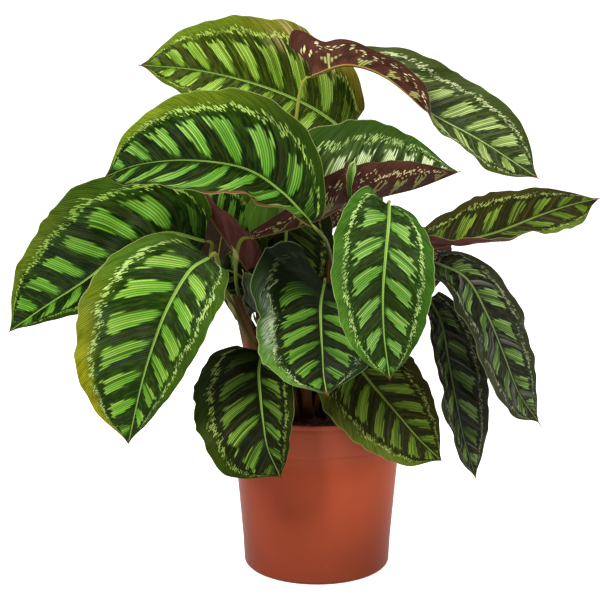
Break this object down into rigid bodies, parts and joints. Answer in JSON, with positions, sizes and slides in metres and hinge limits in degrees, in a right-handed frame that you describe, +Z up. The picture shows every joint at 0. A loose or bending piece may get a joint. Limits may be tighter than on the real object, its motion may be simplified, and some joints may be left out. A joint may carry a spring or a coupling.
{
  "type": "potted calathea",
  "caption": "House plant with broad patterned oval leaves on slim stalks, growing from soil in a plain round tapered plastic pot with a collar.",
  "frame": {"origin": "centre of the flat base of the pot, on the ground", "axes": "+Z up, -Y towards the front of the plant, +X to the right as seen from the front"},
  "size_m": [0.6119, 0.4109, 0.5966],
  "materials": {
    "pot_plastic": "satin",
    "potting_soil": "matte",
    "rhizome": "matte",
    "leaf": "satin",
    "stalk": "satin"
  },
  "bodies": {
    "root": {"leaf_back_centre": "leaf", "leaf_back_left": "leaf", "leaf_back_low": "leaf", "leaf_back_low_left": "leaf", "leaf_back_low_right": "leaf", "leaf_back_right": "leaf", "leaf_behind_centre": "leaf", "leaf_behind_left": "leaf", "leaf_broad_left": "leaf", "leaf_centre": "leaf", "leaf_centre_right": "leaf", "leaf_far_left": "leaf", "leaf_folded": "leaf", "leaf_furled": "leaf", "leaf_high_left": "leaf", "leaf_high_right": "leaf", "leaf_inner_right": "leaf", "leaf_low_left": "leaf", "leaf_mid_right": "leaf", "leaf_outer_right": "leaf", "leaf_pot_left": "leaf", "leaf_pot_right": "leaf", "leaf_young": "leaf", "pot": "pot_plastic", "rhizome_clump": "rhizome", "soil": "potting_soil", "stalk_back_centre": "stalk", "stalk_back_left": "stalk", "stalk_back_low": "stalk", "stalk_back_low_left": "stalk", "stalk_back_low_right": "stalk", "stalk_back_right": "stalk", "stalk_behind_centre": "stalk", "stalk_behind_left": "stalk", "stalk_broad_left": "stalk", "stalk_centre": "stalk", "stalk_centre_right": "stalk", "stalk_far_left": "stalk", "stalk_folded": "stalk", "stalk_furled": "stalk", "stalk_high_left": "stalk", "stalk_high_right": "stalk", "stalk_inner_right": "stalk", "stalk_low_left": "stalk", "stalk_mid_right": "stalk", "stalk_outer_right": "stalk", "stalk_pot_left": "stalk", "stalk_pot_right": "stalk", "stalk_young": "stalk"}
  },
  "joints": []
}
